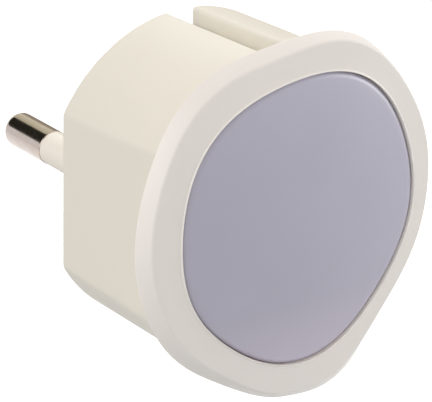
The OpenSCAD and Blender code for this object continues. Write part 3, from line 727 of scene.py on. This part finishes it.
def finish_group(name, inputs, build):
    """A shader node group with named sockets, built once."""
    tree = bpy.data.node_groups.get(name)
    if tree is not None:
        return tree
    tree = bpy.data.node_groups.new(name, "ShaderNodeTree")
    for labels, way in ((inputs, "INPUT"), (FINISH_OUTPUTS, "OUTPUT")):
        for label in labels:
            tree.interface.new_socket(name=label, in_out=way, socket_type=SOCKET_KINDS.get(label, NUMBER))
    given, out = tree.nodes.new("NodeGroupInput").outputs, tree.nodes.new("NodeGroupOutput").inputs
    for label, made in zip(FINISH_OUTPUTS, build(given)):
        feed(out[label], made)
    return tree


def moulded_group():
    """Shared finish: a broad drift and a fine speckle of one colour, a roughness that follows both,
    and a fine grain to be used as a height."""
    drift_part, grain_part = 0.65, 0.35
    low, high = 0.32, 0.68

    def build(given):
        drift = noise(given["Vector"], given["Drift Scale"], detail=3.0)
        grain = noise(given["Vector"], given["Grain Scale"], detail=4.0, rough=0.6)
        both = add(times(drift, drift_part), times(grain, grain_part))
        share = times(remap(both, low, high), given["Variation"])
        rough = times(centred(both), given["Roughness Spread"])
        return (blend_colours(share, given["Color"], given["Second Color"]),
                add(given["Roughness"], rough), grain)
    return finish_group("moulded_finish", ("Vector", "Color", "Second Color", "Variation", "Drift Scale",
                                           "Grain Scale", "Roughness", "Roughness Spread"), build)


def turned_group():
    """Shared finish of drawn or turned metal: fine lines that run round an axis, as noise stretched across
    it, with a tarnish that gathers in patches."""
    patch_scale, low, high = 420.0, 0.4, 0.7
    line_rough, tarnish_rough = 0.08, 0.12

    def build(given):
        stretched = node(given["Vector"].id_data, "ShaderNodeVectorMath", given["Vector"], given["Stretch"],
                         operation="MULTIPLY")
        lines = noise(stretched.outputs[0], scale=1.0, detail=3.0, rough=0.6)
        patches = noise(given["Vector"], patch_scale, detail=3.0)
        share = times(remap(patches, low, high), given["Tarnish"])
        rough = add(given["Roughness"], times(lines, line_rough))
        return (blend_colours(share, given["Color"], given["Tarnish Color"]),
                add(rough, times(share, tarnish_rough)), lines)
    return finish_group("turned_metal", ("Vector", "Stretch", "Color", "Tarnish Color", "Tarnish",
                                         "Roughness"), build)


def new_material(name):
    """A new material, its Principled shader and its Object coordinates."""
    material = fresh(bpy.data.materials, name)
    material.use_nodes = True
    tree = material.node_tree
    return material, tree.nodes["Principled BSDF"], node(tree, "ShaderNodeTexCoord").outputs["Object"]


def finish(shader, made, bump, relief=0.02 * MM, colour_to="Base Color", **uniform):
    """Links a placed group's colour, roughness and height to the shader, and sets what is the same all
    over."""
    bumps = node(shader.id_data, "ShaderNodeBump", Strength=bump, Distance=relief,
                 Height=made.outputs["Height"])
    feed(shader.inputs[colour_to], made.outputs["Color"])
    feed(shader.inputs["Roughness"], made.outputs["Roughness"])
    feed(shader.inputs["Normal"], bumps.outputs["Normal"])
    for key, value in uniform.items():
        feed(shader.inputs[key.replace("_", " ")], value)


def moulded(parts, colour, second, variation, drift, grain, rough, spread, bump, **uniform):
    """Gives a new material the moulded finish: the two colours and how far they mix, the scales of the
    drift and the grain, the roughness and its spread, and the strength of the grain's relief."""
    material, shader, vector = parts
    made = node(vector.id_data, "ShaderNodeGroup", node_tree=moulded_group(), Vector=vector, Color=colour,
                Second_Color=second, Variation=variation, Drift_Scale=drift, Grain_Scale=grain,
                Roughness=rough, Roughness_Spread=spread)
    finish(shader, made, bump, **uniform)
    return material


def plastic(name, rgb, rough, second=None, variation=0.5, grain=3500.0, bump=0.06, **uniform):
    """Satin moulded plastic with a faint drift of colour and a fine spark-eroded grain."""
    return moulded(new_material(name), rgb, second or darker(rgb, 0.965), variation, drift=90.0,
                   grain=grain, rough=rough, spread=0.12, bump=bump, **uniform)


def milky(rgb, radius):
    """Milky plastic with painted light: painted shade makes it darker towards the lower left and a painted
    sheen makes it lighter towards the top right, with a painted lighter, warmer glow at the bottom, and a
    fine drift over all. Heights and reaches are shares of the window's radius."""
    parts = new_material("milky_window")
    vector = parts[-1]
    reach = radius * MM_PER_M
    sideways, up = along(vector, SIDEWAYS), along(vector, UPWARD)
    # Painted shade and sheen: darker towards the lower left, lighter towards the top right, with noise on
    # the border
    side = add(times(sideways, 0.5), times(up, 0.7))
    sheen_wobble = times(centred(noise(vector, scale=90.0)), 0.8 * reach)
    painted_sheen_share = remap(add(side, sheen_wobble), -0.8 * reach, reach)
    tone = blend_colours(painted_sheen_share, darker(rgb, 0.92), darker(rgb, 1.09))
    # Painted light from below: a lighter, warmer tone towards the bottom
    painted_low_light = (1.15 * rgb[0], 1.07 * rgb[1], 1.07 * rgb[2])
    tone = blend_colours(remap(up, -0.55 * reach, -0.95 * reach, to_high=0.8), tone, painted_low_light)
    return moulded(parts, tone, dimmed(tone, 0.98), variation=0.5, drift=120.0, grain=5000.0,
                   rough=0.36, spread=0.08, bump=0.03, Specular_IOR_Level=0.5)


def metal(name, rgb, rough, tarnish_rgb, tarnish, stretch=(300.0, 6000.0, 300.0), bump=0.08):
    """Plated or drawn metal with fine lines and faint tarnish."""
    material, shader, vector = new_material(name)
    made = node(vector.id_data, "ShaderNodeGroup", node_tree=turned_group(), Vector=vector, Color=rgb,
                Tarnish_Color=tarnish_rgb, Tarnish=tarnish, Roughness=rough, Stretch=stretch)
    finish(shader, made, bump, relief=0.01 * MM, Metallic=1.0)
    return material


def two_tone(name, rgb, mark_rgb, mask, rough):
    """A plastic whose marked places, given by a mask built from the coordinates, have a second colour."""
    parts = new_material(name)
    vector = parts[-1]
    mixed = blend_colours(mask(vector), rgb, mark_rgb)
    return moulded(parts, mixed, dimmed(mixed, 0.94), variation=0.7, drift=300.0, grain=4000.0,
                   rough=rough, spread=0.15, bump=0.06)


def banded(name, mixed, bands, axis, start, pitch, half=0.22):
    """A lacquered body with one painted ring for each colour in bands, set out along one axis: the first
    ring's middle, the pitch and half a ring's width, in millimetres."""
    parts = new_material(name)
    vector = parts[-1]
    spot = along(vector, axis)
    for i, band in enumerate(bands):
        middle = start + i * pitch
        mixed = blend_colours(between(spot, middle - half, middle + half), mixed, band)
    return moulded(parts, mixed, mixed, variation=0.0, drift=300.0, grain=3000.0, rough=0.4, spread=0.2,
                   bump=0.1, Coat_Weight=0.3)


def dress(obj, material):
    """Gives an object one material."""
    obj.data.materials.clear()
    obj.data.materials.append(material)


def show(surface, name, material, replaced):
    """Puts a finished surface in the scene in place of the CAD nodes it stands for."""
    piece = surface.piece(name)
    dress(piece, material)
    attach(piece, BODY)
    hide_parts(*replaced)


# ------------------------------------------------------------------ operators

class NIGHTLIGHT_OT_body(bpy.types.Operator):
    """Makes the plug body with its flats, slots, rounded rear edge and holes"""
    bl_idname = "night_light.body"
    bl_label = "Plug body"

    def execute(self, context):
        scene = context.scene
        material = plastic("body_plastic", scene.night_light_colours.body, 0.46, grain=3000.0,
                           Specular_IOR_Level=0.3)
        show(body_surface(scene.night_light_body, scene.night_light_pins), "plug_body", material,
             ["rear_housing"])
        return {"FINISHED"}


class NIGHTLIGHT_OT_ring(bpy.types.Operator):
    """Makes the soft three-lobed front ring"""
    bl_idname = "night_light.ring"
    bl_label = "Front ring"

    def execute(self, context):
        scene = context.scene
        material = plastic("ring_plastic", scene.night_light_colours.ring, 0.42, grain=3000.0,
                           Specular_IOR_Level=0.35)
        show(ring_surface(scene.night_light_front, scene.night_light_body), "front_ring", material,
             ["front_bezel"])
        return {"FINISHED"}


class NIGHTLIGHT_OT_window(bpy.types.Operator):
    """Makes the milky domed window"""
    bl_idname = "night_light.window"
    bl_label = "Window"

    def execute(self, context):
        scene = context.scene
        material = milky(scene.night_light_colours.window, scene.night_light_front.window)
        show(window_surface(scene.night_light_front, scene.night_light_body), "milky_window", material,
             ["diffuser"])
        return {"FINISHED"}


class NIGHTLIGHT_OT_pins(bpy.types.Operator):
    """Makes both plug pins and their insulating sleeves"""
    bl_idname = "night_light.pins"
    bl_label = "Pins and sleeves"

    def execute(self, context):
        pins, colours = context.scene.night_light_pins, context.scene.night_light_colours
        plate = metal("nickel_plate", colours.metal, 0.11, (0.42, 0.34, 0.22), tarnish=0.35)
        ivory = plastic("sleeve_ivory", colours.sleeve, 0.42)
        for side, label in ((-1, "left"), (1, "right")):
            show(pin_surface(pins, side), f"pin_{label}", plate,
                 [f"plug_pin_{label}"])
            show(sleeve_surface(pins, side), f"sleeve_{label}", ivory,
                 [f"pin_sleeve_{label}"])
        return {"FINISHED"}


def phosphor_mask(vector):
    """The floor of each light source's cup: it faces the front and lies just below the package's top."""
    facing = part(node(vector.id_data, "ShaderNodeNewGeometry").outputs["Normal"], REARWARD)
    straight_ahead = -0.9
    return times(calc("LESS_THAN", facing, straight_ahead),
                 between(along(vector, REARWARD), low=-17.5, high=-17.2))


def track_mask(vector):
    """Tracks under the board's lacquer: the borders of square-cornered cells, cut to thin lines."""
    cells = node(vector.id_data, "ShaderNodeTexVoronoi", feature="F1", distance="CHEBYCHEV", Vector=vector,
                 Scale=280.0, Randomness=0.6)
    lines_per_cell, line_part = 3.0, 0.45
    rings = calc("FRACT", times(cells.outputs["Distance"], lines_per_cell))
    return calc("LESS_THAN", rings, line_part)


def stripe_mask(vector):
    """A pale stripe down one side of the can, where its sleeve marks the minus lead."""
    return between(along(vector, SIDEWAYS), low=-12.0, high=-10.1)


def terminal_mask(vector):
    """The two plated ends of each chip resistor, which start 0.68 mm from the middle at x = -4.6 mm."""
    off = calc("ABSOLUTE", add(along(vector, SIDEWAYS), 4.6))
    return calc("GREATER_THAN", off, 0.68)


def cathode_mask(vector):
    """The dark ring at one end of the diode."""
    return between(along(vector, SIDEWAYS), low=0.9, high=1.3)


class NIGHTLIGHT_OT_insides(bpy.types.Operator):
    """Gives every inner piece its finish"""
    bl_idname = "night_light.insides"
    bl_label = "Finishes of the inner pieces"

    def execute(self, context):
        black, brown, gold = (0.02, 0.02, 0.02), (0.25, 0.10, 0.03), (0.6, 0.42, 0.1)
        brass = metal("brass_strip", (0.80, 0.62, 0.30), 0.24, (0.45, 0.28, 0.12), tarnish=0.4,
                      stretch=(900.0, 900.0, 60.0))
        zinc = metal("zinc_screws", (0.60, 0.61, 0.63), 0.28, (0.42, 0.42, 0.40), tarnish=0.4,
                     stretch=(900.0, 900.0, 900.0))
        finishes = {
            "reflector_tray": plastic("tray_white", (0.86, 0.86, 0.84), 0.5),
            "circuit_board": two_tone("board_lacquer", (0.035, 0.17, 0.07), (0.06, 0.26, 0.11),
                                      track_mask, 0.35),
            "leds": two_tone("led_package", (0.86, 0.86, 0.83), (0.86, 0.66, 0.10), phosphor_mask, 0.4),
            "pin_retainer": plastic("retainer_nylon", (0.045, 0.05, 0.055), 0.55, (0.07, 0.075, 0.08),
                                    variation=0.6, grain=900.0, bump=0.2),
            "retainer_screws": zinc,
            "board_screws": zinc,
            "contact_strip_left": brass,
            "contact_strip_right": brass,
            "film_capacitor": plastic("film_box", (0.75, 0.38, 0.04), 0.3, (0.66, 0.31, 0.03),
                                      variation=0.6, grain=900.0, bump=0.05),
            "smoothing_capacitor": two_tone("can_sleeve", (0.02, 0.025, 0.09), (0.50, 0.52, 0.58),
                                            stripe_mask, 0.25),
            "bridge_rectifier": plastic("bridge_epoxy", (0.02, 0.02, 0.022), 0.6, (0.035, 0.035, 0.037),
                                        variation=0.7, grain=1800.0, bump=0.3),
            "fusible_resistor": banded("resistor_green", (0.12, 0.26, 0.15), (brown, black, black, gold),
                                       SIDEWAYS, start=-1.5, pitch=0.95),
            "bleed_resistor": banded("resistor_tan", (0.55, 0.42, 0.22),
                                     (brown, black, (0.03, 0.2, 0.05), gold), UPWARD, start=7.3, pitch=0.75),
            "zener_diode": two_tone("diode_glass", (0.50, 0.20, 0.09), (0.03, 0.03, 0.03),
                                    cathode_mask, 0.15),
            "chip_resistors": two_tone("chip_ceramic", black, (0.65, 0.65, 0.66), terminal_mask, 0.4),
            "solder_joints": metal("solder_bright", (0.70, 0.71, 0.72), 0.18, (0.5, 0.5, 0.5), tarnish=0.4,
                                   stretch=(1500.0, 1500.0, 1500.0), bump=0.2),
        }
        for name, material in finishes.items():
            dress(frame["nodes"][name], material)
        return {"FINISHED"}


def camera_turn(view):
    """The turn that takes the object to the lens: yaw about the upright axis, then pitch, then roll.
    Its rows are the image's right, its down and the viewing direction; its columns are x, up and forward."""
    cy, sy = math.cos(view.yaw), math.sin(view.yaw)
    cp, sp = math.cos(view.pitch), math.sin(view.pitch)
    cr, sr = math.cos(view.roll), math.sin(view.roll)
    yaw = np.array([[cy, 0, sy], [0, 1, 0], [-sy, 0, cy]])
    pitch = np.array([[1, 0, 0], [0, cp, -sp], [0, sp, cp]])
    roll = np.array([[cr, -sr, 0], [sr, cr, 0], [0, 0, 1]])
    return roll @ pitch @ np.diag([1.0, -1.0, -1.0]) @ yaw


# The lamps and the cards: a direction from the object, a power in watts or a glow, and a width in metres
LAMPS = {
    "left_lamp": dict(direction=(-0.80, 0.00, 0.60), power=4.83),
    "front_lamp": dict(direction=(-0.75, -0.60, 0.25), power=3.05),
    "right_lamp": dict(direction=(0.90, -0.40, 0.15), power=5.03),
    "low_lamp": dict(direction=(0.25, -0.55, -0.80), power=0.08, rgb=(0.86, 0.92, 1.0), distance=0.3,
                     width=0.20),
    "top_lamp": dict(direction=(0.15, -0.45, 0.85), power=0.7, rgb=(1.0, 0.93, 0.82)),
    "back_lamp": dict(direction=(0.50, 0.50, 0.70), power=4.61),
}
CARDS = {
    "dark_card": dict(direction=(-0.35, 0.73, 0.58), width=0.39, rgb=(0.02, 0.018, 0.012), glow=1.0),
    "warm_card": dict(direction=(0.36, 0.73, 0.57), width=0.42, rgb=(0.92, 0.90, 0.70), glow=0.9),
    "brown_card": dict(direction=(0.68, 0.73, 0.09), width=0.20, rgb=(0.40, 0.34, 0.26), glow=0.9),
}
CARD_POINTS = 9
# Strength of the even light from all round, and of the floor's glow to the lens
WORLD_FILL, FLOOR_GLOW = 0.157, 0.92
FLOOR_RADII, FLOOR_SIDES = (0.05, 0.3, 0.8, 1.4), 96


def add_lamp(name, direction, power, rgb=WHITE, distance=0.9, width=0.50):
    """A square soft lamp in one direction from the object, aimed at it."""
    data = fresh(bpy.data.lights, name, "AREA")
    data.shape = "SQUARE"
    data.size = width
    data.energy = power
    data.color = rgb
    lamp = new_object(name, data)
    toward = Vector(direction).normalized()
    lamp.location = toward * distance
    lamp.rotation_euler = toward.to_track_quat("Z", "Y").to_euler()


def seen_rays(tree):
    """1 for rays that show the background itself: straight from the lens, mirrored or through glass."""
    path = node(tree, "ShaderNodeLightPath")
    both = calc("MAXIMUM", path.outputs["Is Camera Ray"], path.outputs["Is Glossy Ray"])
    return calc("MAXIMUM", both, path.outputs["Is Transmission Ray"])


def add_world(scene):
    """A white surround for rays that show it, and an even soft light for the rest."""
    scene.world = fresh(bpy.data.worlds, "studio")
    scene.world.use_nodes = True
    tree = scene.world.node_tree
    background = tree.nodes["Background"].inputs
    feed(background["Strength"], remap(seen_rays(tree), 0.0, 1.0, to_low=WORLD_FILL))
    feed(background["Color"], WHITE)


def add_card(name, direction, width, rgb, glow, distance=0.5, height=0.40):
    """A softly bowed card of one plain tone that only mirrored rays meet: it shapes the shine on the metal.
    Its points lie the distance away, less the square of their place on it over twice the distance."""
    turn = np.array(Vector(direction).normalized().to_track_quat("Z", "Y").to_matrix())
    share = np.linspace(-0.5, 0.5, CARD_POINTS)
    u, v = np.meshgrid(share * width, share * height)
    points = np.stack([u, v, distance - (u ** 2 + v ** 2) / (2 * distance)], axis=-1) @ turn.T
    card = Surface()
    card.add(points.reshape(-1, 3), grid_quads(CARD_POINTS, CARD_POINTS, wrap_cols=False))
    obj = card.piece(name)
    dress(obj, moulded(new_material(name), rgb, darker(rgb, 0.8), variation=0.5, drift=6.0, grain=900.0,
                       rough=0.9, spread=0.05, bump=0.02, colour_to="Emission Color", Base_Color=BLACK,
                       Specular_IOR_Level=0.0, Emission_Strength=glow))
    obj.visible_camera = obj.visible_diffuse = obj.visible_shadow = False


def add_floor(rgb, drop):
    """A large round pale floor that takes the object's shadow, with a glow that only shows to the lens."""
    floor = Surface()
    a = directions(FLOOR_SIDES)
    floor.tube(np.stack([place(r * np.cos(a), -drop, r * np.sin(a)) for r in FLOOR_RADII]), start=True)
    obj = floor.piece("pale_floor")
    if obj.data.polygons[0].normal.z < 0:
        obj.data.flip_normals()
    parts = new_material("floor_paint")
    rays = seen_rays(parts[0].node_tree)
    dress(obj, moulded(parts, rgb, darker(rgb, 0.99), variation=0.5, drift=4.0, grain=900.0, rough=0.7,
                       spread=0.05, bump=0.02, Specular_IOR_Level=0.0, Emission_Color=WHITE,
                       Emission_Strength=times(rays, FLOOR_GLOW)))


class NIGHTLIGHT_OT_stage(bpy.types.Operator):
    """Sets up the camera, the lamps, the surround and the floor"""
    bl_idname = "night_light.stage"
    bl_label = "Camera, light and floor"

    def execute(self, context):
        scene = context.scene
        view = scene.night_light_view
        turn = camera_turn(view)
        # Takes sideways, up and forward to the scene's X, Z and -Y
        to_scene = np.array([[1, 0, 0], [0, 0, -1], [0, 1, 0]])
        axes = to_scene @ (turn.T * np.array([1, -1, -1]))
        spot = to_scene @ (-turn.T @ np.array(view.offset))
        data = fresh(bpy.data.cameras, "camera")
        data.sensor_fit = "HORIZONTAL"
        data.sensor_width = SENSOR
        data.lens = SENSOR * view.focal / IMAGE_WIDTH
        data.clip_start, data.clip_end = CLIP_NEAR, CLIP_FAR
        scene.camera = new_object("camera", data)
        scene.camera.matrix_world = Matrix.Translation(Vector(spot)) @ Matrix(axes.tolist()).to_4x4()
        scene.view_settings.view_transform = "Standard"
        for name, lamp in LAMPS.items():
            add_lamp(name, **lamp)
        add_world(scene)
        for name, card in CARDS.items():
            add_card(name, **card)
        add_floor(scene.night_light_colours.floor, view.floor_drop)
        return {"FINISHED"}


class NIGHTLIGHT_PT_panel(bpy.types.Panel):
    """Lists the pieces that can be made and their sizes"""
    bl_label = "Night light"
    bl_idname = "NIGHTLIGHT_PT_panel"
    bl_space_type = "VIEW_3D"
    bl_region_type = "UI"
    bl_category = "Night light"

    def draw(self, context):
        for operator in OPERATORS:
            self.layout.operator(operator.bl_idname)
        for key in SETTINGS:
            settings = getattr(context.scene, key)
            box = self.layout.box()
            box.label(text=settings.bl_rna.description)
            for prop in settings.bl_rna.properties:
                if prop.identifier not in ("rna_type", "name"):
                    box.prop(settings, prop.identifier)


SETTINGS = {
    "night_light_body": NightLightBodySizes,
    "night_light_pins": NightLightPinSizes,
    "night_light_front": NightLightFrontSizes,
    "night_light_colours": NightLightColours,
    "night_light_view": NightLightView,
}
OPERATORS = (NIGHTLIGHT_OT_body, NIGHTLIGHT_OT_ring, NIGHTLIGHT_OT_window, NIGHTLIGHT_OT_pins,
             NIGHTLIGHT_OT_insides, NIGHTLIGHT_OT_stage)


def register():
    """Adds the classes, and the settings to every scene."""
    for kind in (*SETTINGS.values(), *OPERATORS, NIGHTLIGHT_PT_panel):
        bpy.utils.register_class(kind)
    for key, kind in SETTINGS.items():
        setattr(bpy.types.Scene, key, PointerProperty(type=kind))


def unregister():
    """Takes the settings and the classes away again."""
    for key in SETTINGS:
        delattr(bpy.types.Scene, key)
    for kind in (NIGHTLIGHT_PT_panel, *reversed(OPERATORS), *reversed(list(SETTINGS.values()))):
        bpy.utils.unregister_class(kind)


def main():
    """Makes every piece and the stage."""
    register()
    for operator in OPERATORS:
        family, step = operator.bl_idname.split(".")
        getattr(getattr(bpy.ops, family), step)()


if __name__ == "__main__":
    main()
